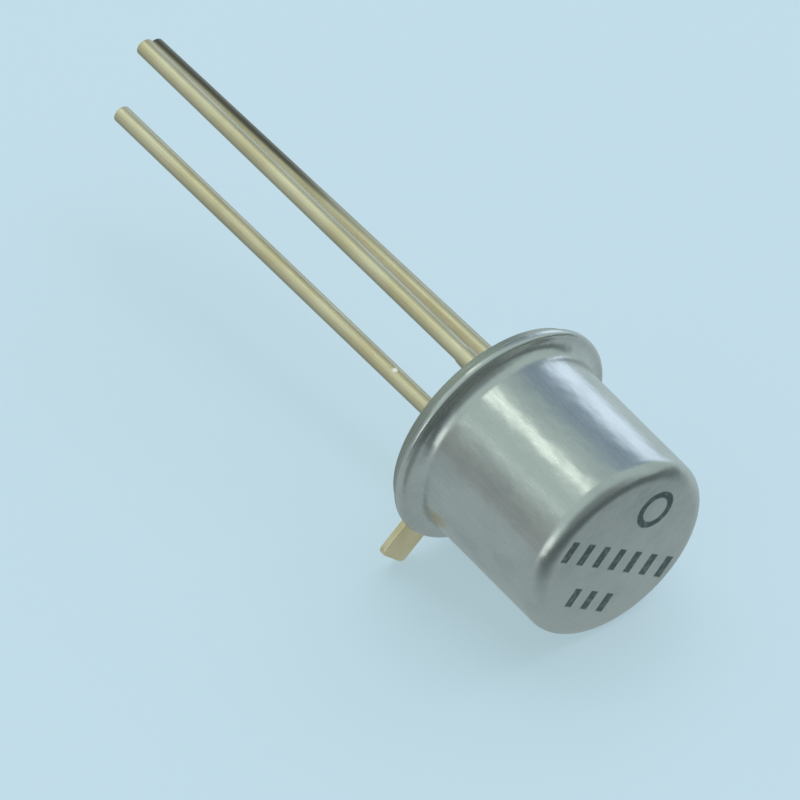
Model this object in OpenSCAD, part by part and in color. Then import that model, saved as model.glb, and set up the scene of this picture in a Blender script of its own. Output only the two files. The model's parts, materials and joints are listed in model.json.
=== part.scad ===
// Bipolar transistor in a three-lead metal can.
// Every piece is drawn upright, in the frame of the data sheet: the seating plane is z = 0,
// the can rises along +Z, the leads hang along -Z and the index tab points along +X.
// lie_down() then lays the whole assembly on its side, as it rests on a table.

/* [Can] */
// Outside diameter of the can's wall
can_d = 4.82; // [4.6:0.02:4.95]
// Height of the can's top above the seating plane
can_h = 4.66; // [4.32:0.02:5.33]
// Thickness of the drawn sheet
can_wall = 0.24; // [0.18:0.01:0.26]
// Outside radius of the rounded top edge
top_edge_r = 0.38; // [0.28:0.01:0.6]
// Outside diameter of the flared rim
rim_d = 5.74; // [5.4:0.02:5.84]
// Radius of the outside sweep from the wall into the rim
flare_r = 0.32; // [0.15:0.01:0.33]
// Radius of the inside edge of the mouth
mouth_r = 0.2; // [0.08:0.01:0.24]

/* [Header] */
// Thickness of the header's flange and tab
header_t = 0.18; // [0.14:0.01:0.24]
// Distance from the can's rim in to the edge of the header's flange
rim_step = 0.14; // [0.08:0.01:0.2]
// Clearance all round between the header's drum and the can
drum_gap = 0.12; // [0.06:0.01:0.2]
// Height of the drum's top, the platform, above the seating plane
platform_h = 0.85; // [0.75:0.01:1.1]
// Thickness of the platform
platform_t = 0.25; // [0.15:0.01:0.3]
// Thickness of the drum's wall
drum_wall = 0.25; // [0.15:0.01:0.26]
// Outside radius of the drum's top edge
drum_edge_r = 0.15; // [0.08:0.01:0.22]
// Radius of the corner between the drum and the flange
drum_foot_r = 0.1; // [0.05:0.01:0.12]
// Radius of the edge round the underside's mouth
cup_mouth_r = 0.12; // [0.05:0.01:0.14]

/* [Index tab] */
// Distance from the axis to the end of the tab
tab_reach = 3.72; // [3.5:0.01:4.1]
// Width of the tab
tab_w = 0.91; // [0.8:0.01:1.17]
// Radius of the tab's outer corners
tab_corner_r = 0.15; // [0.08:0.01:0.25]
// Radius of the inside corners where the tab leaves the flange
tab_root_r = 0.1; // [0.05:0.01:0.15]

/* [Leads] */
// Diameter of the circle on which the three leads stand
lead_circle_d = 2.54; // [2.5:0.01:2.6]
// Diameter of a lead
lead_d = 0.42; // [0.4:0.01:0.46]
// Length of the emitter lead below the seating plane
emitter_len = 13.2; // [12.7:0.1:19]
// Length of the base lead below the seating plane
base_len = 13.6; // [12.7:0.1:19]
// Length of the collector lead below the seating plane
collector_len = 12.7; // [12.7:0.1:19]
// Lean of the emitter lead from the can's axis, in degrees
emitter_lean = 1; // [0:0.1:3]
// Lean of the base lead, in degrees
base_lean = 1.6; // [0:0.1:3]
// Lean of the collector lead, in degrees
collector_lean = 0.7; // [0:0.1:3]
// Direction in which the leads lean, in degrees from the tab
lean_side = -14; // [-60:1:60]
// Diameter of the thicker root that passes through the glass
root_d = 0.48; // [0.47:0.01:0.53]
// Length of the root below the seating plane
root_len = 1; // [0.6:0.05:1.2]
// Length of the taper from the root to the lead
root_taper = 0.15; // [0.05:0.01:0.3]
// Radius of the rounded edge at a lead's cut end
lead_end_r = 0.05; // [0.02:0.01:0.1]
// Diameter of the flat head on top of a lead that takes a wire
post_head_d = 0.66; // [0.6:0.01:0.8]
// Thickness of that head
post_head_t = 0.12; // [0.08:0.01:0.2]
// Height of that head's top above the platform
post_rise = 0.25; // [0.22:0.01:0.4]

/* [Glass] */
// Diameter of the glass round each insulated lead, where it passes the platform
glass_hole_d = 0.84; // [0.7:0.01:0.86]
// Depth of the glass's underside above the seating plane
glass_recess = 0.08; // [0.02:0.01:0.2]
// Size of the glass that creeps down each lead
creep_r = 0.1; // [0.05:0.01:0.14]

/* [Chip] */
// Side of the square silicon die
die_w = 0.46; // [0.3:0.01:0.6]
// Thickness of the die
die_t = 0.18; // [0.1:0.01:0.25]
// Thickness of the solder under the die
solder_t = 0.03; // [0.02:0.01:0.05]
// Width of the solder that shows round the die
solder_margin = 0.04; // [0.02:0.01:0.08]
// Distance from the die's centre to each bond
bond_offset = 0.12; // [0.08:0.01:0.13]
// Diameter of a bonding wire
wire_d = 0.04; // [0.025:0.005:0.05]
// Height of a wire's loop above the straight line between its bonds
wire_loop = 0.28; // [0.15:0.01:0.4]
// Diameter of the flattened foot at each end of a wire
bond_foot_d = 0.1; // [0.08:0.01:0.12]
// Thickness of that foot
bond_foot_t = 0.05; // [0.04:0.01:0.06]

/* [Hidden] */
$fn = 96;

nickel = "#a3aca7";
gold = "#c9b56a";
sealing_glass = "#35504a";
silicon = "#59616c";
aluminium_wire = "#c8ccd0";

// The emitter stands 45 degrees round from the tab, and the three leads a quarter turn apart.
emitter_at = 45;
base_at = emitter_at + 90;
collector_at = emitter_at + 180;

can_r = can_d / 2;
rim_r = rim_d / 2;
rim_round = can_wall / 2;
rim_z = header_t + rim_round;
bore_r = can_r - can_wall;
drum_r = bore_r - drum_gap;
cup_r = drum_r - drum_wall;
platform_under = platform_h - platform_t;
flange_r = rim_r - rim_step;
flange_edge_r = header_t / 5;

lead_r = lead_d / 2;
lead_circle_r = lead_circle_d / 2;
root_r = root_d / 2;
taper_end_r = (lead_r + root_r) / 2;
taper_end = root_len + root_taper;
wire_start = root_taper;
post_top = platform_h + post_rise;

die_top = platform_h + solder_t + die_t;
overlap = 0.05;

// How far the can's end dips when the rim and the can's top edge both touch the table.
rim_over_top = (rim_r - rim_round) - (can_r - top_edge_r);
rim_to_top = (can_h - top_edge_r) - rim_z;
dip = acos((top_edge_r - rim_round) / norm([rim_over_top, rim_to_top]))
    - atan2(rim_to_top, rim_over_top);
axis_h = (rim_r - rim_round) * cos(dip) + rim_z * sin(dip) + rim_round;

// How far the tab is turned from straight down when its corner touches the table too.
tab_corner = [tab_reach - tab_corner_r, tab_w / 2 - tab_corner_r];
tab_drop = (axis_h - header_t * sin(dip)) / cos(dip) - tab_corner_r;
tab_turn = atan2(tab_corner[1], tab_corner[0]) + acos(tab_drop / norm(tab_corner));

// The lowest and highest x and y of the part as it lies, which centre it on the origin.
function lean_shift(length, lean) = (length - taper_end) * tan(lean);
function tip_x(at, length, lean) =
    let (down = lead_circle_r * cos(at - tab_turn) + lean_shift(length, lean) * cos(lean_side - tab_turn))
    -length * cos(dip) - down * sin(dip) - lead_r * sin(dip);
low_x = min(
    tip_x(emitter_at, emitter_len, emitter_lean),
    tip_x(base_at, base_len, base_lean),
    tip_x(collector_at, collector_len, collector_lean)
);
high_x = (can_r - top_edge_r) * sin(dip) + (can_h - top_edge_r) * cos(dip) + top_edge_r;
tab_side = tab_corner[0] * sin(tab_turn) + tab_corner[1] * cos(tab_turn) + tab_corner_r;
low_y = -max(rim_r, tab_side);
high_y = rim_r;

module lie_down() {
    translate([-(low_x + high_x) / 2, -(low_y + high_y) / 2, axis_h])
        rotate([0, 90 + dip, 0])
            rotate([0, 0, -tab_turn])
                children();
}

// A rectangle from the axis out, with its outer top corner rounded.
module crowned_block(width, height, corner_r) {
    square([width - corner_r, height]);
    square([width, height - corner_r]);
    translate([width - corner_r, height - corner_r]) circle(corner_r);
}

// A rectangle from the axis out, with both outer corners rounded.
module rounded_disc(width, height, corner_r) {
    square([width - corner_r, height]);
    translate([0, corner_r]) square([width, height - 2 * corner_r]);
    translate([width - corner_r, corner_r]) circle(corner_r);
    translate([width - corner_r, height - corner_r]) circle(corner_r);
}

// The web that fills an inside corner at the origin, up to a quarter round.
module corner_web(radius) {
    difference() {
        square(radius);
        translate([radius, radius]) circle(radius);
    }
}

// The can: one deep-drawn cap whose mouth is swept out into a rim with a rolled edge.
module can_section() {
    difference() {
        union() {
            translate([0, header_t]) crowned_block(can_r, can_h - header_t, top_edge_r);
            translate([0, header_t]) square([rim_r - rim_round, can_wall]);
            translate([rim_r - rim_round, rim_z]) circle(rim_round);
            translate([can_r, header_t + can_wall]) corner_web(flare_r);
        }
        crowned_block(bore_r, can_h - can_wall, top_edge_r - can_wall);
        translate([bore_r, header_t]) corner_web(mouth_r);
    }
}

module can() {
    // The turned skin's seam is on the side away from the table.
    color(nickel) lie_down() rotate([0, 0, tab_turn + 180]) rotate_extrude() can_section();
}

// The header: a stamped flange and tab with a hollow drum, whose top is the chip's platform.
module header_section() {
    difference() {
        union() {
            rounded_disc(flange_r, header_t, flange_edge_r);
            crowned_block(drum_r, platform_h, drum_edge_r);
            translate([drum_r, header_t]) corner_web(drum_foot_r);
        }
        square([cup_r, platform_under]);
        translate([cup_r, 0]) corner_web(cup_mouth_r);
    }
}

module tab_outline() {
    half = tab_w / 2;
    root_x = sqrt(pow(flange_r, 2) - pow(half, 2));
    inner_x = (drum_r + root_x) / 2;
    translate([inner_x, -half]) square([tab_reach - tab_corner_r - inner_x, tab_w]);
    translate([inner_x, tab_corner_r - half]) square([tab_reach - inner_x, tab_w - 2 * tab_corner_r]);
    for (side = [-1, 1])
        translate([tab_reach - tab_corner_r, side * (half - tab_corner_r)]) circle(tab_corner_r);
    // the inside corners, rounded against the flange's edge
    root_y = half + tab_root_r;
    fillet_x = sqrt(pow(flange_r + tab_root_r, 2) - pow(root_y, 2));
    for (side = [0, 1])
        mirror([0, side])
            difference() {
                translate([inner_x, half - overlap]) square([fillet_x - inner_x, tab_root_r + overlap]);
                translate([fillet_x, root_y]) circle(tab_root_r);
            }
}

module lead_place(at) {
    rotate([0, 0, at]) translate([lead_circle_r, 0, 0]) children();
}

module header() {
    color(gold) lie_down() difference() {
        union() {
            rotate_extrude() header_section();
            linear_extrude(header_t) tab_outline();
        }
        for (at = [emitter_at, base_at])
            lead_place(at)
                translate([0, 0, platform_under - overlap])
                    cylinder(d = glass_hole_d, h = platform_t + 2 * overlap);
    }
}

// The glass: fused into the drum, up through the two platform holes and round all three leads.
module glass_seal() {
    color(sealing_glass) lie_down() difference() {
        union() {
            translate([0, 0, glass_recess]) cylinder(r = cup_r, h = platform_under - glass_recess);
            for (at = [emitter_at, base_at])
                lead_place(at)
                    translate([0, 0, platform_under - overlap])
                        cylinder(d = glass_hole_d, h = platform_t + overlap);
            for (at = [emitter_at, base_at, collector_at])
                lead_place(at)
                    translate([0, 0, glass_recess])
                        mirror([0, 0, 1])
                            rotate_extrude() {
                                translate([root_r, 0]) corner_web(creep_r);
                                translate([0, -overlap]) square([root_r + creep_r, overlap]);
                            }
        }
        for (at = [emitter_at, base_at])
            lead_place(at)
                translate([0, 0, -root_len])
                    cylinder(r = root_r, h = root_len + platform_h + overlap);
        lead_place(collector_at)
            translate([0, 0, -root_len])
                cylinder(r = root_r, h = root_len + platform_under);
    }
}

// A lead: a straight root set in the glass, a short taper, and the long wire that leans a little.
module lead_below(at, length, lean) {
    wire_len = (length - taper_end) / cos(lean);
    translate([0, 0, -taper_end])
        rotate([0, 0, lean_side - at])
            rotate([0, -lean, 0])
                mirror([0, 0, 1])
                    rotate_extrude() {
                        translate([0, -wire_start]) crowned_block(lead_r, wire_start + wire_len, lead_end_r);
                    }
}

module lead_root(top) {
    rotate_extrude()
        polygon([
            [0, top], [root_r, top], [root_r, -root_len], [taper_end_r, -taper_end], [0, -taper_end]
        ]);
}

module insulated_lead(at, length, lean) {
    color(gold) lie_down() lead_place(at) {
        lead_below(at, length, lean);
        lead_root(post_top - post_head_t / 2);
        translate([0, 0, post_top - post_head_t])
            rotate_extrude() rounded_disc(post_head_d / 2, post_head_t, post_head_t / 4);
    }
}

module emitter_lead() {
    insulated_lead(emitter_at, emitter_len, emitter_lean);
}

module base_lead() {
    insulated_lead(base_at, base_len, base_lean);
}

// The collector's lead is welded to the platform's underside, so it joins the can.
module collector_lead() {
    color(gold) lie_down() lead_place(collector_at) {
        lead_below(collector_at, collector_len, collector_lean);
        lead_root(platform_under);
    }
}

module die() {
    color(silicon) lie_down()
        translate([-die_w / 2, -die_w / 2, platform_h + solder_t])
            cube([die_w, die_w, die_t]);
}

module die_solder() {
    solder_w = die_w + 2 * solder_margin;
    color(gold) lie_down()
        translate([-solder_w / 2, -solder_w / 2, platform_h])
            cube([solder_w, solder_w, solder_t]);
}

// A bonding wire: an arc in the upright plane from the die's bond to its lead's head.
module bond_wire(at) {
    foot_mid = bond_foot_t / 2;
    reach = lead_circle_r - bond_offset;
    rise = post_top - die_top;
    chord = norm([reach, rise]);
    slope = atan2(rise, reach);
    arc_r = (pow(chord / 2, 2) + pow(wire_loop, 2)) / (2 * wire_loop);
    half_angle = asin(chord / 2 / arc_r);
    color(aluminium_wire) lie_down() rotate([0, 0, at]) {
        translate([bond_offset, 0, die_top]) {
            cylinder(d = bond_foot_d, h = bond_foot_t);
            translate([0, 0, foot_mid])
                rotate([90, -slope, 0])
                    translate([chord / 2, wire_loop - arc_r, 0])
                        rotate([0, 0, 90 - half_angle])
                            rotate_extrude(angle = 2 * half_angle)
                                translate([arc_r, 0]) circle(d = wire_d);
        }
        translate([lead_circle_r, 0, post_top]) cylinder(d = bond_foot_d, h = bond_foot_t);
    }
}

module emitter_wire() {
    bond_wire(emitter_at);
}

module base_wire() {
    bond_wire(base_at);
}

can();
header();
glass_seal();
emitter_lead();
base_lead();
collector_lead();
die();
die_solder();
emitter_wire();
base_wire();
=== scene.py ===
import json
import math

import bmesh
import bpy
from mathutils import Matrix, Vector


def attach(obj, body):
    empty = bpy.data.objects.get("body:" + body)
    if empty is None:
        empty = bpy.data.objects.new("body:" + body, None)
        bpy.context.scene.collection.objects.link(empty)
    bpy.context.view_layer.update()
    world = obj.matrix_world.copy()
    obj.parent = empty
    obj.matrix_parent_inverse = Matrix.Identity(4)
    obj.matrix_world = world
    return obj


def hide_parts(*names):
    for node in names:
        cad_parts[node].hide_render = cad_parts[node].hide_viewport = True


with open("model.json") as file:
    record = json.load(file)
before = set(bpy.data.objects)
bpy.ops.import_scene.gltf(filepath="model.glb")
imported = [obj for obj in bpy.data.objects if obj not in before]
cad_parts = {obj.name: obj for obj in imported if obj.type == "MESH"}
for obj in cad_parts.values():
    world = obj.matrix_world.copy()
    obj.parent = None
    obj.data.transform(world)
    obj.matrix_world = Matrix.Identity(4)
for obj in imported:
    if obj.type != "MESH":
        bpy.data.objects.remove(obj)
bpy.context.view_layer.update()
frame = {"nodes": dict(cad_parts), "record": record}

# ---------------------------------------------------------------- camera
# A long lens looks down on the transistor from beyond its can, a little to the tab's side, so
# the printed top is near and the leads run away from it.
view_azimuth = math.radians(51.774)
view_elevation = math.radians(41.908)
view_roll = math.radians(0.371)
lens_at = Vector((0.2071614, -0.1622842, 0.2367450))
lens_mm = 711.12
sensor_mm = 36.0

view_camera = bpy.data.cameras.new("view_camera")
view_camera.lens = lens_mm
view_camera.sensor_width = sensor_mm
view_camera.clip_start = 0.01
view_camera.clip_end = 10.0
view_point = bpy.data.objects.new("view_point", view_camera)
bpy.context.collection.objects.link(view_point)
view_point.location = lens_at
view_point.rotation_euler = (
    Matrix.Rotation(view_azimuth, 3, "Z")
    @ Matrix.Rotation(math.pi / 2 - view_elevation, 3, "X")
    @ Matrix.Rotation(view_roll, 3, "Z")
).to_euler()
bpy.context.scene.camera = view_point

# ---------------------------------------------------------------- header
# The header is one stamping of iron-nickel-cobalt sheet: a flange with the index tab, and a
# hollow drum drawn up in its middle, whose top is the chip's platform. It is gold plated all
# over before its flange is welded to the can's rim.
mm = 0.001
flange_t = 0.18
flange_r = 2.73
stamped_edge_r = 0.036
edge_inset = 2.5 * stamped_edge_r    # from the flange's edge in to the ring beside its rounding
edge_loop = 0.03                     # from any other rounding to the ring beside it
drum_r = 2.05
drum_edge_r = 0.15
drum_foot_r = 0.10
cup_r = 1.80
cup_mouth_r = 0.12
platform_z = 0.85
platform_under_z = 0.60
tab_reach = 3.72
tab_half_w = 0.455
tab_corner_r = 0.15
tab_root_r = 0.10
lead_circle_r = 1.27
emitter_at, base_at, collector_at = (math.radians(degrees) for degrees in (45, 135, 225))
glass_hole_r = 0.42
hole_sides, hole_margin = 64, 0.1
plate_light = (0.94, 0.79, 0.53, 1.0)
plate_deep = (0.84, 0.68, 0.41, 1.0)
# Painted shade, grey, for the flange's edge and the low part of the can's rim edge.
edge_band_shade = (0.40, 0.40, 0.34, 1.0)
plate_cloud, plate_wave = (0.9, 0.9, 1.6), (0.25, 0.25, 0.9)
plate_wave_depth, plate_line_depth, plate_line_w = 0.003, 0.0008, 0.05
stamped_gloss = (0.38, 0.50)
edge_shade_ring_from, edge_shade_ring_to = 0.12, 0.05
tab_clear_from, tab_clear_to = 0.22, 0.10

# Pieces are shaped upright, in millimetres over the seating plane with the tab along +X, and
# this matrix lays them where the mounts say that the seating plane and the can's top are.
mounts = {mount["name"]: mount for mount in frame["record"]["mounts"]}
upward = Vector(mounts["can_top"]["axis"]).normalized()
top_centre = Vector(mounts["can_top"]["pos_m"])
off_centre = Vector(mounts["seating_plane"]["pos_m"])
seat_centre = top_centre - upward * (top_centre - off_centre).dot(upward)
tabward = (seat_centre - off_centre).normalized()
sideward = upward.cross(tabward)
turn = Matrix((tabward, sideward, upward)).transposed()
upright = Matrix.Translation(seat_centre) @ turn.to_4x4() @ Matrix.Scale(mm, 4)


def arc(centre_x, centre_z, radius, first, last, steps):
    """Points along an arc, from one angle to another, in degrees."""
    angles = [math.radians(first + (last - first) * i / steps) for i in range(steps + 1)]
    return [(centre_x + radius * math.cos(a), centre_z + radius * math.sin(a)) for a in angles]


def flange_outline():
    """The flange's edge with its tab, anticlockwise: (x, y, outward x, outward y)."""
    corner_x, corner_y = tab_reach - tab_corner_r, tab_half_w - tab_corner_r
    root_y = tab_half_w + tab_root_r
    root_x = math.sqrt((flange_r + tab_root_r) ** 2 - root_y ** 2)
    meet = math.degrees(math.atan2(root_y, root_x))
    half = [(tab_reach, corner_y * i / 3, 1.0, 0.0) for i in range(3)]
    for x, y in arc(0, 0, 1, 0, 90, 10):
        half.append((corner_x + tab_corner_r * x, corner_y + tab_corner_r * y, x, y))
    half += [(corner_x + (root_x - corner_x) * i / 6, tab_half_w, 0.0, 1.0) for i in range(1, 6)]
    for x, y in arc(0, 0, 1, -90, meet - 180, 8):
        half.append((root_x + tab_root_r * x, root_y + tab_root_r * y, -x, -y))
    half += [(flange_r * x, flange_r * y, x, y) for x, y in arc(0, 0, 1, meet, 180, 80)[1:]]
    return half + [(x, -y, out_x, -out_y) for x, y, out_x, out_y in half[-2:0:-1]]


def header_rings():
    """Rings from the platform's centre over the drum, round the flange and up into the cup."""
    platform_rs = (0.0, 0.4, 0.8, 1.2, 1.6, drum_r - drum_edge_r - edge_loop)
    rings = [("round", r, platform_z) for r in platform_rs]
    drum_top = arc(drum_r - drum_edge_r, platform_z - drum_edge_r, drum_edge_r, 90, 0, 10)
    rings += [("round", r, z) for r, z in drum_top]
    drum_foot = arc(drum_r + drum_foot_r, flange_t + drum_foot_r, drum_foot_r, 180, 270, 8)
    rings += [("round", r, z) for r, z in drum_foot]
    rings += [("edge", edge_inset, flange_t)]
    for step in range(13):
        lift = math.radians(90 - 15 * step)
        middle_z = flange_t - stamped_edge_r if step <= 6 else stamped_edge_r
        inset = stamped_edge_r * (1 - math.cos(lift))
        rings.append(("edge", inset, middle_z + stamped_edge_r * math.sin(lift)))
    rings += [("edge", edge_inset, 0.0), ("round", cup_r + cup_mouth_r + edge_loop, 0.0)]
    cup_mouth = arc(cup_r + cup_mouth_r, cup_mouth_r, cup_mouth_r, 270, 180, 8)
    rings += [("round", r, z) for r, z in cup_mouth]
    rings += [("round", cup_r, z) for z in (0.2, 0.4, platform_under_z)]
    return rings + [("round", r, platform_under_z) for r in (1.4, 0.9, 0.4, 0.0)]


def ringed_mesh(name, rings, outline):
    """A closed skin over rings that all have one point for each point of the outline."""
    points = []
    for kind, size, z in rings:
        for x, y, out_x, out_y in outline:
            reach = math.hypot(x, y)
            if kind == "round":
                points.append((size * x / reach, size * y / reach, z))
            else:
                points.append((x - size * out_x, y - size * out_y, z))
    count = len(outline)
    faces = [
        (ring * count + i, ring * count + (i + 1) % count,
         (ring + 1) * count + (i + 1) % count, (ring + 1) * count + i)
        for ring in range(len(rings) - 1) for i in range(count)
    ]
    mesh = bpy.data.meshes.new(name)
    mesh.from_pydata(points, [], faces)
    return mesh


def linked(name, mesh):
    piece = bpy.data.objects.new(name, mesh)
    bpy.context.collection.objects.link(piece)
    return piece


def evaluated(piece):
    """The piece with its modifiers made real and taken off."""
    bpy.context.view_layer.update()
    graph = bpy.context.evaluated_depsgraph_get()
    mesh = bpy.data.meshes.new_from_object(piece.evaluated_get(graph))
    piece.modifiers.clear()
    piece.data = mesh
    return piece


def cleaned(piece, sharp_over=38.0):
    """Doubles merged, faces turned outward, and edges sharper than that angle kept crisp."""
    skin = bmesh.new()
    skin.from_mesh(piece.data)
    bmesh.ops.remove_doubles(skin, verts=skin.verts, dist=1e-4)
    bmesh.ops.dissolve_degenerate(skin, edges=skin.edges, dist=1e-5)
    bmesh.ops.recalc_face_normals(skin, faces=skin.faces)
    skin.to_mesh(piece.data)
    skin.free()
    piece.data.polygons.foreach_set("use_smooth", [True] * len(piece.data.polygons))
    piece.data.set_sharp_from_angle(angle=math.radians(sharp_over))
    return piece


def cut_with(piece, tool, operation):
    """The piece joined with the tool or cut by it. The tool is used up."""
    change = piece.modifiers.new("change", "BOOLEAN")
    change.operation = operation
    change.solver = "EXACT"
    change.object = tool
    evaluated(piece)
    bpy.data.objects.remove(tool)
    return piece


def seated(piece, material, slot, *nodes):
    """The upright piece laid in its place, given its finish, and put on the part."""
    piece.data.transform(upright)
    piece.data.materials.clear()
    piece.data.materials.append(material)
    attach(piece, "root")
    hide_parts(*nodes)
    return piece


def named_material(name):
    material = bpy.data.materials.new(name)
    material.use_nodes = True
    return material, material.node_tree, material.node_tree.nodes["Principled BSDF"]


def upright_pattern(tree, grain):
    """Coordinates along the can's own axes, one unit for each grain (x, y, z) in millimetres."""
    place = tree.nodes.new("ShaderNodeTexCoord")
    axes = tree.nodes.new("ShaderNodeMapping")
    axes.vector_type = "TEXTURE"
    axes.inputs["Location"].default_value = seat_centre
    axes.inputs["Rotation"].default_value = turn.to_euler()
    axes.inputs["Scale"].default_value = [size * mm for size in grain]
    tree.links.new(place.outputs["Object"], axes.inputs["Vector"])
    return axes.outputs["Vector"]


def noise(tree, grain, detail, roughness=0.55):
    texture = tree.nodes.new("ShaderNodeTexNoise")
    texture.inputs["Scale"].default_value = 1.0
    texture.inputs["Detail"].default_value = detail
    texture.inputs["Roughness"].default_value = roughness
    tree.links.new(upright_pattern(tree, grain), texture.inputs["Vector"])
    return texture.outputs["Fac"]


def spread(tree, value, low, high, to_low, to_high):
    """The value's stretch from low to high, laid smoothly over another stretch."""
    node = tree.nodes.new("ShaderNodeMapRange")
    node.interpolation_type = "SMOOTHSTEP"
    ends = {"From Min": low, "From Max": high, "To Min": to_low, "To Max": to_high}
    for name, number in ends.items():
        node.inputs[name].default_value = number
    tree.links.new(value, node.inputs["Value"])
    return node.outputs["Result"]


def blended(tree, share, first, second):
    """Two colours mixed by a value. Each is a colour or a node's output."""
    node = tree.nodes.new("ShaderNodeMix")
    node.data_type = "RGBA"
    tree.links.new(share, node.inputs["Factor"])
    for socket, colour in zip((node.inputs[6], node.inputs[7]), (first, second)):
        if isinstance(colour, bpy.types.NodeSocket):
            tree.links.new(colour, socket)
        else:
            socket.default_value = colour
    return node.outputs[2]


def bumped(tree, height, depth_mm, under=None):
    """Relief of that depth, on top of another relief if one is given."""
    node = tree.nodes.new("ShaderNodeBump")
    node.inputs["Strength"].default_value = 1.0
    node.inputs["Distance"].default_value = depth_mm * mm
    tree.links.new(height, node.inputs["Height"])
    if under:
        tree.links.new(under, node.inputs["Normal"])
    return node.outputs["Normal"]


def math_node(tree, operation, first, second=None):
    node = tree.nodes.new("ShaderNodeMath")
    node.operation = operation
    for socket, value in zip(node.inputs, (first, second)):
        if isinstance(value, bpy.types.NodeSocket):
            tree.links.new(value, socket)
        elif value is not None:
            socket.default_value = value
    return node.outputs[0]


def times(tree, first, second):
    return math_node(tree, "MULTIPLY", first, second)


def plus(tree, first, second):
    return math_node(tree, "ADD", first, second)


def span(tree, x, y):
    """The distance that x and y are apart from nought."""
    return math_node(tree, "SQRT", plus(tree, times(tree, x, x), times(tree, y, y)))


def split(tree, vector):
    node = tree.nodes.new("ShaderNodeSeparateXYZ")
    tree.links.new(vector, node.inputs["Vector"])
    return node.outputs


def gold_plating(name, grain_z, gloss, overlay=None):
    """Satin gold over metal whose fine lines run grain_z long, between two roughnesses.

    An overlay is a function that gives the share and the colour of what is laid over the gold: painted
    shade, or a darker side."""
    material, tree, shader = named_material(name)
    shader.inputs["Metallic"].default_value = 1.0
    cloud = noise(tree, plate_cloud, 3)
    colour = blended(tree, spread(tree, cloud, 0.35, 0.7, 0, 1), plate_light, plate_deep)
    if overlay:
        share, overlay_colour = overlay(tree)
        colour = blended(tree, share, colour, overlay_colour)
    tree.links.new(colour, shader.inputs["Base Color"])
    lines = noise(tree, (plate_line_w, plate_line_w, grain_z), 3)
    tree.links.new(spread(tree, lines, 0.3, 0.7, *gloss), shader.inputs["Roughness"])
    relief = bumped(tree, noise(tree, plate_wave, 2), plate_wave_depth)
    tree.links.new(bumped(tree, lines, plate_line_depth, relief), shader.inputs["Normal"])
    return material


def flange_edge_shading(tree):
    """Painted shade: the flange's edge made grey all round but at the tab."""
    x, y, z = split(tree, upright_pattern(tree, (1, 1, 1)))
    ring = spread(tree, span(tree, x, y), flange_r - edge_shade_ring_from, flange_r - edge_shade_ring_to, 0, 1)
    clear = spread(tree, x, flange_r - tab_clear_from, flange_r - tab_clear_to, 1, 0)
    return times(tree, ring, clear), edge_band_shade


header = linked("header_stamping", ringed_mesh("header_stamping", header_rings(), flange_outline()))
cleaned(header)
for at in (emitter_at, base_at):
    hole_mesh = bpy.data.meshes.new("hole")
    hole_turns = [math.tau * i / hole_sides for i in range(hole_sides)]
    hole_middle = Vector((lead_circle_r * math.cos(at), lead_circle_r * math.sin(at), 0))
    hole_points = [
        hole_middle + Vector((glass_hole_r * math.cos(a), glass_hole_r * math.sin(a), z))
        for z in (platform_under_z - hole_margin, platform_z + hole_margin) for a in hole_turns
    ]
    hole_faces = [
        (i, (i + 1) % hole_sides, hole_sides + (i + 1) % hole_sides, hole_sides + i)
        for i in range(hole_sides)
    ]
    hole_faces += [tuple(reversed(range(hole_sides))), tuple(range(hole_sides, 2 * hole_sides))]
    hole_mesh.from_pydata(hole_points, [], hole_faces)
    cut_with(header, linked("hole", hole_mesh), "DIFFERENCE")
cleaned(header)
stamped_plate = gold_plating("stamped_gold_plate", plate_line_w, stamped_gloss, flange_edge_shading)
seated(header, stamped_plate, "gold_plate", "header")

# ---------------------------------------------------------------- glass seal
# Matched glass is melted into the drum. It holds the leads apart, comes up through the platform
# round the emitter's and the base's, and creeps a little way down each root.
root_r = 0.24
glass_z = 0.08
creep_r = 0.10
glass_colour = (0.020, 0.042, 0.036, 1.0)
glass_pale = (0.050, 0.085, 0.072, 1.0)
glass_cloud, glass_wave, glass_wave_depth = (0.5, 0.5, 0.5), (0.35, 0.35, 0.35), 0.012
glass_ring_rs = (0.6, 1.2)
through_top_z, blind_top_z = 1.0, 0.7
post_low_z = 0.5
bore_low_z = -0.5
tool_margin = 0.05    # by which a shape that is joined on reaches into the glass


def tree_input(tree, name, kind, value=None):
    socket = tree.interface.new_socket(name, in_out="INPUT", socket_type="NodeSocket" + kind)
    if value is not None:
        socket.default_value = value
    return socket.identifier


def finished_skin(tree, geometry, material, output):
    """The tree's end: instances made real, the material set, and the result given out."""
    real = tree.nodes.new("GeometryNodeRealizeInstances")
    tree.links.new(geometry, real.inputs["Geometry"])
    finish = tree.nodes.new("GeometryNodeSetMaterial")
    tree.links.new(real.outputs["Geometry"], finish.inputs["Geometry"])
    tree.links.new(material, finish.inputs["Material"])
    tree.interface.new_socket(output, in_out="OUTPUT", socket_type="NodeSocketGeometry")
    given_out = tree.nodes.new("NodeGroupOutput")
    tree.links.new(finish.outputs["Geometry"], given_out.inputs[output])
    return tree


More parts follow.
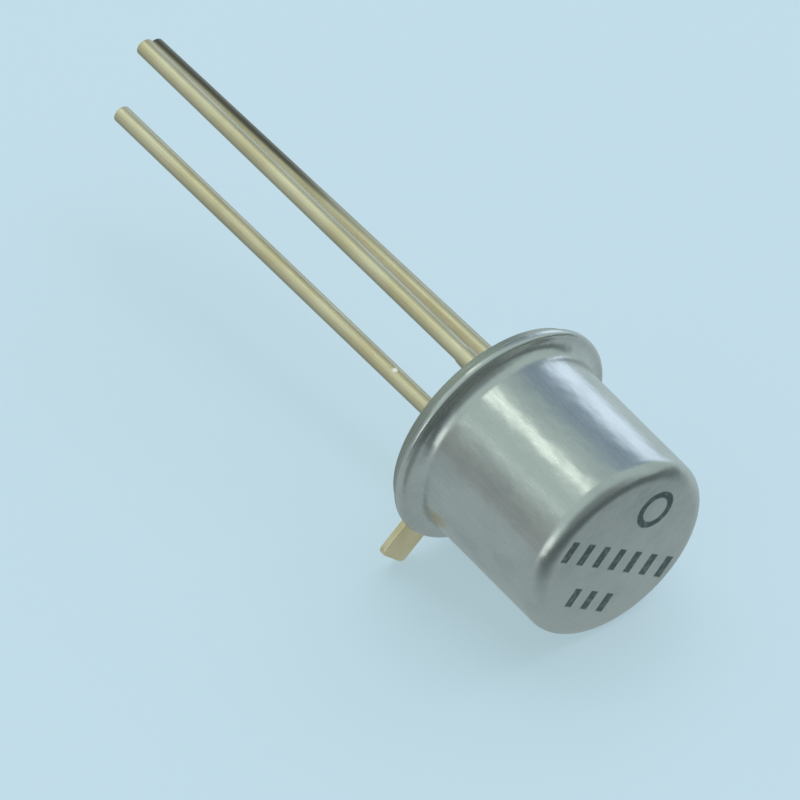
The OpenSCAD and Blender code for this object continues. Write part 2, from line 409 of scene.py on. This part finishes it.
def turning_tree():
    """Turns an outline, given as points (radius, height) in order, into a closed skin."""
    tree = bpy.data.node_groups.new("turned_outline", "GeometryNodeTree")
    tree_input(tree, "Outline", "Geometry")
    tree_input(tree, "Segments", "Int", 96)
    tree_input(tree, "Material", "Material")
    made, links = tree.nodes.new, tree.links.new
    given = made("NodeGroupInput").outputs
    count = made("GeometryNodeAttributeDomainSize")
    links(given["Outline"], count.inputs["Geometry"])
    columns = plus(tree, given["Segments"], 1)
    grid = made("GeometryNodeMeshGrid")
    links(count.outputs["Point Count"], grid.inputs["Vertices X"])
    links(columns, grid.inputs["Vertices Y"])
    index = made("GeometryNodeInputIndex").outputs["Index"]
    row = math_node(tree, "FLOOR", math_node(tree, "DIVIDE", plus(tree, index, 0.5), columns))
    column = math_node(tree, "SUBTRACT", index, times(tree, row, columns))
    angle = times(tree, math_node(tree, "DIVIDE", column, given["Segments"]), math.tau)
    place = made("GeometryNodeInputPosition")
    sample = made("GeometryNodeSampleIndex")
    sample.data_type = "FLOAT_VECTOR"
    links(given["Outline"], sample.inputs["Geometry"])
    links(place.outputs["Position"], sample.inputs["Value"])
    links(row, sample.inputs["Index"])
    apart = made("ShaderNodeSeparateXYZ")
    links(sample.outputs["Value"], apart.inputs["Vector"])
    joined = made("ShaderNodeCombineXYZ")
    for axis, wave in (("X", "COSINE"), ("Y", "SINE")):
        links(times(tree, apart.outputs["X"], math_node(tree, wave, angle)), joined.inputs[axis])
    links(apart.outputs["Z"], joined.inputs["Z"])
    moved = made("GeometryNodeSetPosition")
    links(grid.outputs["Mesh"], moved.inputs["Geometry"])
    links(joined.outputs["Vector"], moved.inputs["Position"])
    merged = made("GeometryNodeMergeByDistance")
    merged.inputs["Distance"].default_value = 1e-4
    links(moved.outputs["Geometry"], merged.inputs["Geometry"])
    return finished_skin(tree, merged.outputs["Geometry"], given["Material"], "Skin")


turned_outline = turning_tree()


def with_tree(piece, tree, **inputs):
    """The piece after a tree has made it, as a plain mesh. Inputs go by the socket's identifier."""
    modifier = piece.modifiers.new(tree.name, "NODES")
    modifier.node_group = tree
    sockets = [item for item in tree.interface.items_tree if item.in_out == "INPUT"]
    named = {item.name: item.identifier for item in sockets}
    for name, value in inputs.items():
        modifier[named[name.replace("_", " ").capitalize()]] = value
    return evaluated(piece)


def outline_piece(name, outline):
    mesh = bpy.data.meshes.new(name)
    mesh.from_pydata(
        [(r, 0.0, z) for r, z in outline], [(i, i + 1) for i in range(len(outline) - 1)], []
    )
    return linked(name, mesh)


glass, glass_tree, glass_shader = named_material("sealing_glass")
glass_haze = spread(glass_tree, noise(glass_tree, glass_cloud, 4), 0.4, 0.75, 0, 1)
glass_tree.links.new(
    blended(glass_tree, glass_haze, glass_colour, glass_pale), glass_shader.inputs["Base Color"]
)
glass_shader.inputs["Roughness"].default_value = 0.12
glass_shader.inputs["IOR"].default_value = 1.5
glass_shader.inputs["Coat Weight"].default_value = 0.6
glass_shader.inputs["Coat Roughness"].default_value = 0.06
glass_relief = bumped(glass_tree, noise(glass_tree, glass_wave, 2), glass_wave_depth)
glass_tree.links.new(glass_relief, glass_shader.inputs["Normal"])


def placed(piece, at):
    """The piece moved from the axis to that angle on the lead circle."""
    offset = Vector((lead_circle_r * math.cos(at), lead_circle_r * math.sin(at), 0))
    piece.data.transform(Matrix.Translation(offset))
    return piece


def glass_turned(name, outline, segments=72):
    piece = outline_piece(name, outline)
    return cleaned(with_tree(piece, turned_outline, segments=segments, material=glass))


glass_body = glass_turned(
    "glass_body",
    [(r, platform_under_z) for r in (0, *glass_ring_rs, cup_r)]
    + [(r, glass_z) for r in (cup_r, *reversed(glass_ring_rs), 0)], 128,
)
creep = arc(root_r + creep_r, glass_z - creep_r, creep_r, 90, 180, 8)
skirt_top_z = glass_z + tool_margin
skirt = [(0, skirt_top_z), (root_r + creep_r, skirt_top_z)] + creep + [(0, glass_z - creep_r)]
for at in (emitter_at, base_at, collector_at):
    cut_with(glass_body, placed(glass_turned("glass_skirt", skirt), at), "UNION")
post = [(0, platform_z), (glass_hole_r, platform_z), (glass_hole_r, post_low_z), (0, post_low_z)]
for at in (emitter_at, base_at):
    cut_with(glass_body, placed(glass_turned("glass_post", post, 64), at), "UNION")
for at, top in ((emitter_at, through_top_z), (base_at, through_top_z), (collector_at, blind_top_z)):
    bore = [(0, top), (root_r, top), (root_r, bore_low_z), (0, bore_low_z)]
    cut_with(glass_body, placed(glass_turned("root_bore", bore), at), "DIFFERENCE")
cleaned(glass_body)
seated(glass_body, glass, "sealing_glass", "glass_seal")

# ---------------------------------------------------------------- leads
# Three gold-plated wires hang from the header: a thicker root set in the glass, a short taper
# and the long lead, cut off square. The emitter's and the base's end in flat heads above the
# platform, and the collector's is welded to the platform's underside.
lead_r = 0.21
lead_end_r = 0.05
end_loop = 0.02        # from the small roundings of heads and ends to the ring beside them
root_len = 1.0
taper_end_z = -1.15
taper_end_r = 0.225
head_r = 0.33
head_t = 0.12
head_top_z = 1.10
lean_side = math.radians(-14)
emitter_lean, base_lean, collector_lean = (math.radians(degrees) for degrees in (1.0, 1.6, 0.7))
emitter_len, base_len, collector_len = 13.2, 13.6, 12.7
drawn_line_len = 1.2
drawn_gloss = (0.36, 0.46)
# Painted shade: olive along both sides of every lead, across this way; the base's lead is also dark
# brown along one side, low down.
dark_sides_way = math.radians(168)
lead_edge_shade = (0.36, 0.33, 0.23, 1.0)
dark_brown_side = (0.085, 0.070, 0.050, 1.0)
brown_side_from_z, brown_side_to_z = -5.0, -9.0
edge_shade_from, edge_shade_most = 0.35, 0.8
brown_from, brown_to = -0.25, 0.45
brown_least, brown_most = 0.10, 0.92
# A painted highlight: a small pale spot on the emitter's lead, standing in for a lamp's glint.
glint_metal = 0.1
glint_place, glint_r, glint_soft = (0.801, 0.722, -3.25), 0.062, 0.025    # on the emitter's lead
glint_pale = (0.92, 0.91, 0.82, 1.0)


def leaning_tree():
    """Turns a lead's outline, leans what hangs below the taper, and stands it on its circle."""
    tree = bpy.data.node_groups.new("leaning_lead", "GeometryNodeTree")
    tree_input(tree, "Outline", "Geometry")
    tree_input(tree, "Segments", "Int", 48)
    tree_input(tree, "Lean", "Float", 0.0)
    tree_input(tree, "Lean side", "Float", lean_side)
    tree_input(tree, "Lean from", "Float", taper_end_z)
    tree_input(tree, "Circle radius", "Float", lead_circle_r)
    tree_input(tree, "At", "Float", 0.0)
    tree_input(tree, "Material", "Material")
    made, links = tree.nodes.new, tree.links.new
    given = made("NodeGroupInput").outputs
    turned = made("GeometryNodeGroup")
    turned.node_tree = turned_outline
    for name in ("Outline", "Segments", "Material"):
        links(given[name], turned.inputs[name])
    apart = made("ShaderNodeSeparateXYZ")
    links(made("GeometryNodeInputPosition").outputs["Position"], apart.inputs["Vector"])
    across = made("GeometryNodeStoreNamedAttribute")
    across.inputs["Name"].default_value = "across"
    links(turned.outputs["Skin"], across.inputs["Geometry"])
    links(plus(
        tree, times(tree, apart.outputs["X"], math.cos(dark_sides_way) / lead_r),
        times(tree, apart.outputs["Y"], math.sin(dark_sides_way) / lead_r),
    ), across.inputs["Value"])
    below = math_node(tree, "SUBTRACT", given["Lean from"], apart.outputs["Z"])
    depth = math_node(tree, "MAXIMUM", below, 0.0)
    shift = times(tree, depth, math_node(tree, "TANGENT", given["Lean"]))
    offset = made("ShaderNodeCombineXYZ")
    for axis, wave in (("X", "COSINE"), ("Y", "SINE")):
        leaned = times(tree, shift, math_node(tree, wave, given["Lean side"]))
        stood = times(tree, given["Circle radius"], math_node(tree, wave, given["At"]))
        links(plus(tree, leaned, stood), offset.inputs[axis])
    moved = made("GeometryNodeSetPosition")
    links(across.outputs["Geometry"], moved.inputs["Geometry"])
    links(offset.outputs["Vector"], moved.inputs["Offset"])
    return finished_skin(tree, moved.outputs["Geometry"], given["Material"], "Lead")


def lead_outline(length, headed):
    """From the top down: the head or the welded end, the root, the taper and the cut end."""
    if headed:
        edge = head_t / 4
        head = [(0, head_top_z), (head_r - edge - end_loop, head_top_z)]
        head += arc(head_r - edge, head_top_z - edge, edge, 90, 0, 5)
        head += arc(head_r - edge, head_top_z - head_t + edge, edge, 0, -90, 5)
        head += [(root_r, head_top_z - head_t)]
    else:
        head = [(0, platform_under_z), (root_r, platform_under_z)]
    root = [(root_r, z) for z in (0.5, 0.1, -0.4, edge_loop - root_len, -root_len)]
    taper = [(taper_end_r, taper_end_z), (lead_r, taper_end_z), (lead_r, taper_end_z - edge_loop)]
    wire = [(lead_r, taper_end_z - (length + taper_end_z) * i / 12) for i in range(1, 12)]
    end = [(lead_r, end_loop + lead_end_r - length)]
    end += arc(lead_r - lead_end_r, lead_end_r - length, lead_end_r, 0, -90, 6)
    end += [(lead_r - lead_end_r - end_loop, -length), (0, -length)]
    return head + root + taper + wire + end


def sides(tree):
    """How far across the lead a place is, from -1 to 1, and how much of it takes painted olive shade.
    """
    across = tree.nodes.new("ShaderNodeAttribute")
    across.attribute_name = "across"
    beside = across.outputs["Fac"]
    edge = math_node(tree, "ABSOLUTE", beside)
    return beside, spread(tree, edge, edge_shade_from, 1.0, 0.0, edge_shade_most)


def lead_edge_shading(tree):
    """Painted olive shade along both sides of a lead."""
    return sides(tree)[1], lead_edge_shade


def edge_shade_and_brown_side(tree):
    """Painted olive shade along both sides, and on the base's lead a dark brown along one side of its
    lower half.
    """
    beside, olive = sides(tree)
    z = split(tree, upright_pattern(tree, (1, 1, 1)))[2]
    on_side = spread(tree, beside, brown_from, brown_to, 0, 1)
    brown = times(
        tree, on_side, spread(tree, z, brown_side_to_z, brown_side_from_z, brown_most, brown_least)
    )
    return math_node(tree, "MAXIMUM", brown, olive), blended(tree, brown, lead_edge_shade, dark_brown_side)


def with_painted_glint(material):
    """The plating with a painted highlight: a small pale, hardly metallic spot."""
    tree = material.node_tree
    shader = tree.nodes["Principled BSDF"]
    away = tree.nodes.new("ShaderNodeVectorMath")
    away.operation = "DISTANCE"
    tree.links.new(upright_pattern(tree, (1, 1, 1)), away.inputs[0])
    away.inputs[1].default_value = glint_place
    glint = spread(tree, away.outputs["Value"], glint_r - glint_soft, glint_r + glint_soft, 1, 0)
    whole = shader.inputs["Base Color"].links[0].from_socket
    tree.links.new(blended(tree, glint, whole, glint_pale), shader.inputs["Base Color"])
    tree.links.new(spread(tree, glint, 0, 1, 1.0, glint_metal), shader.inputs["Metallic"])
    return material


leaning_lead = leaning_tree()
lead_plate = gold_plating("drawn_gold_plate", drawn_line_len, drawn_gloss, lead_edge_shading)
shaded_brown_side_plate = gold_plating("shaded_brown_side_gold_plate", drawn_line_len, drawn_gloss, edge_shade_and_brown_side)
glinted_plate = with_painted_glint(
    gold_plating("glint_painted_gold_plate", drawn_line_len, drawn_gloss, lead_edge_shading)
)
lead_facts = {
    "emitter_lead": (emitter_at, emitter_len, emitter_lean, True, glinted_plate),
    "base_lead": (base_at, base_len, base_lean, True, shaded_brown_side_plate),
    "collector_lead": (collector_at, collector_len, collector_lean, False, lead_plate),
}
for node_name, (at, length, lean, headed, plate) in lead_facts.items():
    lead = outline_piece(node_name + "_wire", lead_outline(length, headed))
    with_tree(lead, leaning_lead, segments=48, lean=lean, lean_side=lean_side,
              lean_from=taper_end_z, circle_radius=lead_circle_r, at=at, material=plate)
    cleaned(lead, 30)
    seated(lead, plate, "gold_plate", node_name)

# ---------------------------------------------------------------- die and solder
# The chip is a diced square of silicon, soldered with gold to the middle of the platform. Its
# top has a metal pattern: the emitter's and the base's pads and the fingers between them.
die_half_w = 0.23
solder_light = (0.80, 0.62, 0.30, 1.0)
solder_dull = (0.55, 0.45, 0.26, 1.0)
silicon_dark = (0.060, 0.070, 0.085, 1.0)
silicon_pad = (0.60, 0.62, 0.62, 1.0)
solder_grain_mm, solder_depth = 0.05, 0.003
finger_waves, finger_soft = 22.0, 0.1
pads_from, pads_to = 0.78, 0.84

solder, solder_tree, solder_shader = named_material("gold_solder")
solder_shader.inputs["Metallic"].default_value = 1.0
solder_shader.inputs["Roughness"].default_value = 0.3
solder_grain = noise(solder_tree, (solder_grain_mm,) * 3, 3)
solder_haze = spread(solder_tree, solder_grain, 0.35, 0.65, 0, 1)
solder_tree.links.new(
    blended(solder_tree, solder_haze, solder_light, solder_dull), solder_shader.inputs["Base Color"]
)
solder_tree.links.new(bumped(solder_tree, solder_grain, solder_depth), solder_shader.inputs["Normal"])

silicon, silicon_tree, silicon_shader = named_material("patterned_silicon")
silicon_shader.inputs["Roughness"].default_value = 0.15
chip_x, chip_y = split(silicon_tree, upright_pattern(silicon_tree, (die_half_w,) * 3))[:2]
finger_wave = math_node(silicon_tree, "SINE", times(silicon_tree, chip_x, finger_waves))
pattern = spread(silicon_tree, finger_wave, -finger_soft, finger_soft, 0, 1)
for chip_axis in (chip_x, chip_y):
    from_middle = math_node(silicon_tree, "ABSOLUTE", chip_axis)
    pattern = times(silicon_tree, pattern, spread(silicon_tree, from_middle, pads_from, pads_to, 1, 0))
silicon_tree.links.new(
    blended(silicon_tree, pattern, silicon_dark, silicon_pad), silicon_shader.inputs["Base Color"]
)
silicon_tree.links.new(pattern, silicon_shader.inputs["Metallic"])
for node_name, finish in (("die", silicon), ("die_solder", solder)):
    frame["nodes"][node_name].data.materials.clear()
    frame["nodes"][node_name].data.materials.append(finish)

# ---------------------------------------------------------------- bonding wires
# Two aluminium wires, finer than a hair, loop from the chip's pads to the heads of the emitter's
# and the base's leads. Each end is pressed into a small flat foot.
wire_r = 0.02
wire_loop = 0.28
bond_offset = 0.12
foot_r = 0.05
foot_t = 0.05
die_top_z = 1.06
wire_bright = (0.80, 0.81, 0.82, 1.0)
wire_dull = (0.62, 0.64, 0.66, 1.0)
wire_grain_mm = 0.02
wire_steps, wire_sides, foot_sides = 40, 16, 32


def looped_tree():
    """A wire on an arc through three points, with a flat foot at each end of it."""
    tree = bpy.data.node_groups.new("looped_wire", "GeometryNodeTree")
    tree_input(tree, "Under", "Geometry")
    for name in ("Start", "Middle", "End"):
        tree_input(tree, name, "Vector")
    tree_input(tree, "Wire radius", "Float", wire_r)
    tree_input(tree, "Foot radius", "Float", foot_r)
    tree_input(tree, "Foot thickness", "Float", foot_t)
    tree_input(tree, "Material", "Material")
    made, links = tree.nodes.new, tree.links.new
    given = made("NodeGroupInput").outputs
    loop = made("GeometryNodeCurveArc")
    loop.mode = "POINTS"
    loop.inputs["Resolution"].default_value = wire_steps
    for name in ("Start", "Middle", "End"):
        links(given[name], loop.inputs[name])
    section = made("GeometryNodeCurvePrimitiveCircle")
    section.inputs["Resolution"].default_value = wire_sides
    links(given["Wire radius"], section.inputs["Radius"])
    swept = made("GeometryNodeCurveToMesh")
    swept.inputs["Fill Caps"].default_value = True
    links(loop.outputs["Curve"], swept.inputs["Curve"])
    links(section.outputs["Curve"], swept.inputs["Profile Curve"])
    joined = made("GeometryNodeJoinGeometry")
    links(swept.outputs["Mesh"], joined.inputs["Geometry"])
    for name in ("Start", "End"):
        foot = made("GeometryNodeMeshCylinder")
        foot.inputs["Vertices"].default_value = foot_sides
        links(given["Foot radius"], foot.inputs["Radius"])
        links(given["Foot thickness"], foot.inputs["Depth"])
        put = made("GeometryNodeTransform")
        links(foot.outputs["Mesh"], put.inputs["Geometry"])
        links(given[name], put.inputs["Translation"])
        links(put.outputs["Geometry"], joined.inputs["Geometry"])
    return finished_skin(tree, joined.outputs["Geometry"], given["Material"], "Wire")


bond_wire, bond_tree, bond_shader = named_material("bonding_aluminium")
bond_shader.inputs["Metallic"].default_value = 1.0
bond_shader.inputs["Roughness"].default_value = 0.22
bond_haze = spread(bond_tree, noise(bond_tree, (wire_grain_mm,) * 3, 2), 0.4, 0.7, 0, 1)
bond_tree.links.new(
    blended(bond_tree, bond_haze, wire_bright, wire_dull), bond_shader.inputs["Base Color"]
)
looped_wire = looped_tree()
for node_name, at in (("emitter_wire", emitter_at), ("base_wire", base_at)):
    outward = Vector((math.cos(at), math.sin(at), 0))
    start = outward * bond_offset + Vector((0, 0, die_top_z + foot_t / 2))
    end = outward * lead_circle_r + Vector((0, 0, head_top_z + foot_t / 2))
    lift = outward.cross(Vector((0, 0, 1))).cross(end - start).normalized()
    crest = (start + end) / 2 + lift * wire_loop
    wire = outline_piece(node_name + "_loop", [(0, 0), (0, 0.01)])
    with_tree(wire, looped_wire, start=start, middle=crest, end=end, wire_radius=wire_r,
              foot_radius=foot_r, foot_thickness=foot_t, material=bond_wire)
    cleaned(wire, 40)
    seated(wire, bond_wire, "bonding_wire", node_name)

# ---------------------------------------------------------------- can
# The can is a deep-drawn nickel cap with a rounded top edge. Its mouth is swept out into a flat
# rim, whose cut edge is a little rounded, and which is welded down on the header's flange. The
# top's print is a plain ring and two rows of short bars.
can_r = 2.41
can_top_z = 4.66
can_wall = 0.24
top_edge_r = 0.38
rim_r = 2.87
rim_edge_r = 0.09
flare_r = 0.32
mouth_r = 0.20
nickel_light = (0.63, 0.62, 0.58, 1.0)
nickel_dull = (0.55, 0.55, 0.52, 1.0)
ink_colour = (0.070, 0.100, 0.100, 1.0)
ink_soft = 0.02
ink_roughness = 0.25
ink_wear_grain = (0.12, 0.12, 0.12)
row_turn = math.radians(7.4)
ring_place, ring_r, ring_w = (-1.28, -0.05), 0.42, 0.17
bar_pitch, bar_w = 0.60, 0.24
bar_rows = ((-0.15, 0.42, -2.0, 2.0), (1.02, 1.52, -0.9, 0.9))
dull_grain = (1.1, 1.1, 1.6)
rim_shade_from, rim_shade_to = 0.10, 0.04
rim_shade_up, rim_shade_top = 0.08, 0.13
print_from, print_to = 0.1, 0.05
draw_grain, draw_gloss = (0.10, 0.10, 1.2), (0.26, 0.295)
ripple_grain, ripple_depth = (0.70, 0.70, 0.95), 0.022
grit_grain, grit_depth = (0.18, 0.18, 0.25), 0.0016

bore_r = can_r - can_wall
flat_top_r = can_r - top_edge_r
top_edge_z = can_top_z - top_edge_r
flare_z = flange_t + can_wall + flare_r
can_outline = [(r, can_top_z) for r in (0.0, 0.3, 0.7, 1.1, 1.5, 1.8, flat_top_r - edge_loop)]
can_outline += arc(flat_top_r, top_edge_z, top_edge_r, 90, 0, 16)
can_outline += [(can_r, z) for z in (4.22, 3.6, 2.8, 2.0, 1.2, flare_z + edge_loop)]
can_outline += arc(can_r + flare_r, flare_z, flare_r, 180, 270, 14)
can_outline += arc(rim_r - rim_edge_r, flange_t + can_wall - rim_edge_r, rim_edge_r, 90, 0, 8)
can_outline += arc(rim_r - rim_edge_r, flange_t + rim_edge_r, rim_edge_r, 0, -90, 8)
can_outline += [(bore_r + mouth_r + edge_loop, flange_t)]
can_outline += arc(bore_r + mouth_r, flange_t + mouth_r, mouth_r, 270, 180, 10)
can_outline += [(bore_r, z) for z in (1.2, 2.4, 3.6, top_edge_z)]
can_outline += arc(flat_top_r, top_edge_z, top_edge_r - can_wall, 0, 90, 8)
can_outline += [(r, can_top_z - can_wall) for r in (1.4, 0.7, 0.0)]

nickel, nickel_tree, nickel_shader = named_material("satin_nickel")
nickel_shader.inputs["Metallic"].default_value = 1.0
dullness = spread(nickel_tree, noise(nickel_tree, dull_grain, 4, 0.6), 0.42, 0.72, 0, 1)
can_x, can_y, can_z = split(nickel_tree, upright_pattern(nickel_tree, (1, 1, 1)))


def along(x_part, y_part):
    """How far a place on the top lies in that direction."""
    return plus(nickel_tree, times(nickel_tree, can_x, x_part), times(nickel_tree, can_y, y_part))


def within(value, low, high):
    """1 between the two, with the soft edge of printed ink."""
    return times(
        nickel_tree, spread(nickel_tree, value, low - ink_soft, low + ink_soft, 0, 1),
        spread(nickel_tree, value, high - ink_soft, high + ink_soft, 1, 0),
    )


along_row = along(-math.sin(row_turn), math.cos(row_turn))
down_rows = along(math.cos(row_turn), math.sin(row_turn))
bar_phase = math_node(nickel_tree, "PINGPONG", along_row, bar_pitch / 2)
bars = spread(nickel_tree, bar_phase, (bar_w - ink_soft) / 2, (bar_w + ink_soft) / 2, 1, 0)
from_ring = span(nickel_tree, *(
    math_node(nickel_tree, "SUBTRACT", axis, middle) for axis, middle in zip((can_x, can_y), ring_place)
))
ink = within(from_ring, ring_r - ring_w / 2, ring_r + ring_w / 2)
for low_v, high_v, low_u, high_u in bar_rows:
    row = times(nickel_tree, within(down_rows, low_v, high_v), within(along_row, low_u, high_u))
    ink = math_node(nickel_tree, "MAXIMUM", ink, times(nickel_tree, row, bars))
ink_wear = spread(nickel_tree, noise(nickel_tree, ink_wear_grain, 3), 0.30, 0.52, 0.66, 0.95)
on_top = spread(nickel_tree, can_z, can_top_z - print_from, can_top_z - print_to, 0, 1)
ink = times(nickel_tree, times(nickel_tree, ink, ink_wear), on_top)

# Painted shade: the low part of the rim's outer edge, greyed like the flange's edge.
rim_reach = span(nickel_tree, can_x, can_y)
rim_edge_shade = times(
    nickel_tree, spread(nickel_tree, rim_reach, rim_r - rim_shade_from, rim_r - rim_shade_to, 0, 1),
    spread(nickel_tree, can_z, flange_t + rim_shade_up, flange_t + rim_shade_top, 1, 0),
)
metal = blended(nickel_tree, dullness, nickel_light, nickel_dull)
metal = blended(nickel_tree, rim_edge_shade, metal, edge_band_shade)
metal_gloss = spread(nickel_tree, noise(nickel_tree, draw_grain, 3), 0.25, 0.75, *draw_gloss)
ripple = bumped(nickel_tree, noise(nickel_tree, ripple_grain, 2), ripple_depth)
ripple = bumped(nickel_tree, noise(nickel_tree, grit_grain, 1), grit_depth, ripple)
can_looks = {
    "Base Color": blended(nickel_tree, ink, metal, ink_colour),
    "Metallic": spread(nickel_tree, ink, 0.0, 1.0, 1.0, 0.0),
    "Roughness": plus(nickel_tree, metal_gloss, times(nickel_tree, ink, ink_roughness)),
    "Normal": ripple,
}
for socket_name, look in can_looks.items():
    nickel_tree.links.new(look, nickel_shader.inputs[socket_name])

can = with_tree(outline_piece("drawn_can", can_outline), turned_outline, segments=192, material=nickel)
cleaned(can)
seated(can, nickel, "nickel_can", "can")

# ---------------------------------------------------------------- table and light
# The table is plain pale paper in a bright room, whose window is low behind the leads. Above the
# window the room is darker, and it is darkest on the viewer's side. The paper's glow is painted light:
# seen directly, it lightens the paper's shadows; mirrored in the nickel, the paper takes less of the
# lamps' light and glows by itself, least of all beyond the can's top, where it is painted dark.
paper_colour = (0.546, 0.730, 0.831, 1.0)
paper_lit = (0.197, 0.263, 0.299, 1.0)
paper_glow_seen = (0.345, 0.447, 0.488, 1.0)
paper_lit_mirrored = (0.055, 0.070, 0.075, 1.0)
paper_glow = (0.476, 0.585, 0.616, 1.0)
table_dark_from, table_dark_to = 0.009, 0.016      # in metres along +X, as mirrored
window_side_from, window_side_to = 0.002, 0.010    # in metres along +Y, as mirrored
window_side_least, dark_side_least = 0.74, 0.17
table_side = 4.0
room_colour = (0.515, 0.655, 0.660, 1.0)


def flat_sheet(name, width, height):
    x, y = width / 2, height / 2
    mesh = bpy.data.meshes.new(name)
    mesh.from_pydata([(-x, -y, 0), (x, -y, 0), (x, y, 0), (-x, y, 0)], [], [(0, 1, 2, 3)])
    return linked(name, mesh)


table = flat_sheet("table", table_side, table_side)
paper, paper_tree, paper_shader = named_material("pale_paper")
paper_shader.inputs["Roughness"].default_value = 0.9
paper_shader.inputs["Specular IOR Level"].default_value = 0.0
viewed = paper_tree.nodes.new("ShaderNodeLightPath").outputs["Is Camera Ray"]
table_place = paper_tree.nodes.new("ShaderNodeTexCoord").outputs["Object"]
table_x, table_y = split(paper_tree, table_place)[:2]
# Painted reflection: how much the mirrored paper glows, least beyond the can's top and a little less
# towards -Y.
mirrored_share = times(
    paper_tree, spread(paper_tree, table_x, table_dark_from, table_dark_to, 1.0, dark_side_least),
    spread(paper_tree, table_y, window_side_from, window_side_to, window_side_least, 1.0),
)
glow_share = math_node(paper_tree, "MAXIMUM", viewed, mirrored_share)
paper_tree.links.new(
    blended(paper_tree, viewed, paper_lit_mirrored, paper_lit), paper_shader.inputs["Base Color"]
)
paper_tree.links.new(
    blended(paper_tree, viewed, paper_glow, paper_glow_seen), paper_shader.inputs["Emission Color"]
)
paper_tree.links.new(glow_share, paper_shader.inputs["Emission Strength"])
table.data.materials.append(paper)

room = bpy.data.worlds.new("room")
bpy.context.scene.world = room
room.use_nodes = True
room_tree = room.node_tree
room_way = room_tree.nodes.new("ShaderNodeTexCoord").outputs["Generated"]


def room_patch(under, way, inner, outer, colour):
    """A soft-edged patch of the room, in that direction, over what the room had there."""
    toward = room_tree.nodes.new("ShaderNodeVectorMath")
    toward.operation = "DOT_PRODUCT"
    room_tree.links.new(room_way, toward.inputs[0])
    toward.inputs[1].default_value = Vector(way).normalized()
    edge = (math.cos(math.radians(outer)), math.cos(math.radians(inner)))
    return blended(room_tree, spread(room_tree, toward.outputs["Value"], *edge, 0, 1), under, colour)


# Each patch has its direction, where its soft edge begins and ends in degrees, and its colour.
room_patches = (
    ((-0.44, 0.67, 0.585), 10, 29, (0.266, 0.369, 0.484, 1.0)),      # the wall over the window
    ((-0.48, 0.855, 0.12), 14, 24, (1.08, 1.33, 1.60, 1.0)),         # the window
    ((-0.493, -0.859, 0.10), 8, 33, (0.309, 0.354, 0.366, 1.0)),    # the far wall, left of the tab
    ((0.99, -0.09, 0.13), 14, 54, (0.20, 0.25, 0.26, 1.0)),         # the viewer's side
    ((0.26, -0.96, 0.10), 8, 26, (1.17, 1.33, 1.33, 1.0)),         # a second window, beyond the tab
)
room_light = room_colour
for patch in room_patches:
    room_light = room_patch(room_light, *patch)
seen = room_tree.nodes.new("ShaderNodeLightPath").outputs["Is Camera Ray"]
room_tree.links.new(
    blended(room_tree, seen, room_light, paper_colour), room_tree.nodes["Background"].inputs["Color"]
)

bpy.context.scene.view_settings.view_transform = "Standard"


def soft_lamp(name, way, distance, width, height, colour, power):
    """A rectangular lamp in that direction from the part, turned to face it."""
    light = bpy.data.lights.new(name, "AREA")
    light.shape = "RECTANGLE"
    light.size, light.size_y = width, height
    light.color = colour
    light.energy = power
    lamp = bpy.data.objects.new(name, light)
    bpy.context.collection.objects.link(lamp)
    lamp.location = Vector(way).normalized() * distance
    lamp.rotation_euler = Vector(way).to_track_quat("Z", "Y").to_euler()
    return lamp


# The two small lamps show as stripes along the can. The large one only lights the table.
lamp_green, lamp_rose = (0.91, 1.0, 0.90), (0.90, 0.80, 0.85)
small_lamp_away, large_lamp_away, large_lamp_w = 0.6, 1.2, 1.6
soft_lamp("stripe_lamp", (-0.404, -0.12, 0.91), small_lamp_away, 0.05, 0.07, lamp_green, 0.058)
soft_lamp("far_lamp", (-0.43, -0.615, 0.66), small_lamp_away, 0.04, 0.04, lamp_green, 0.010)
fill_lamp = soft_lamp("fill_lamp", (-0.15, 0.5, 0.85), large_lamp_away, large_lamp_w, large_lamp_w,
                      lamp_rose, 14.0)
fill_lamp.visible_glossy = False
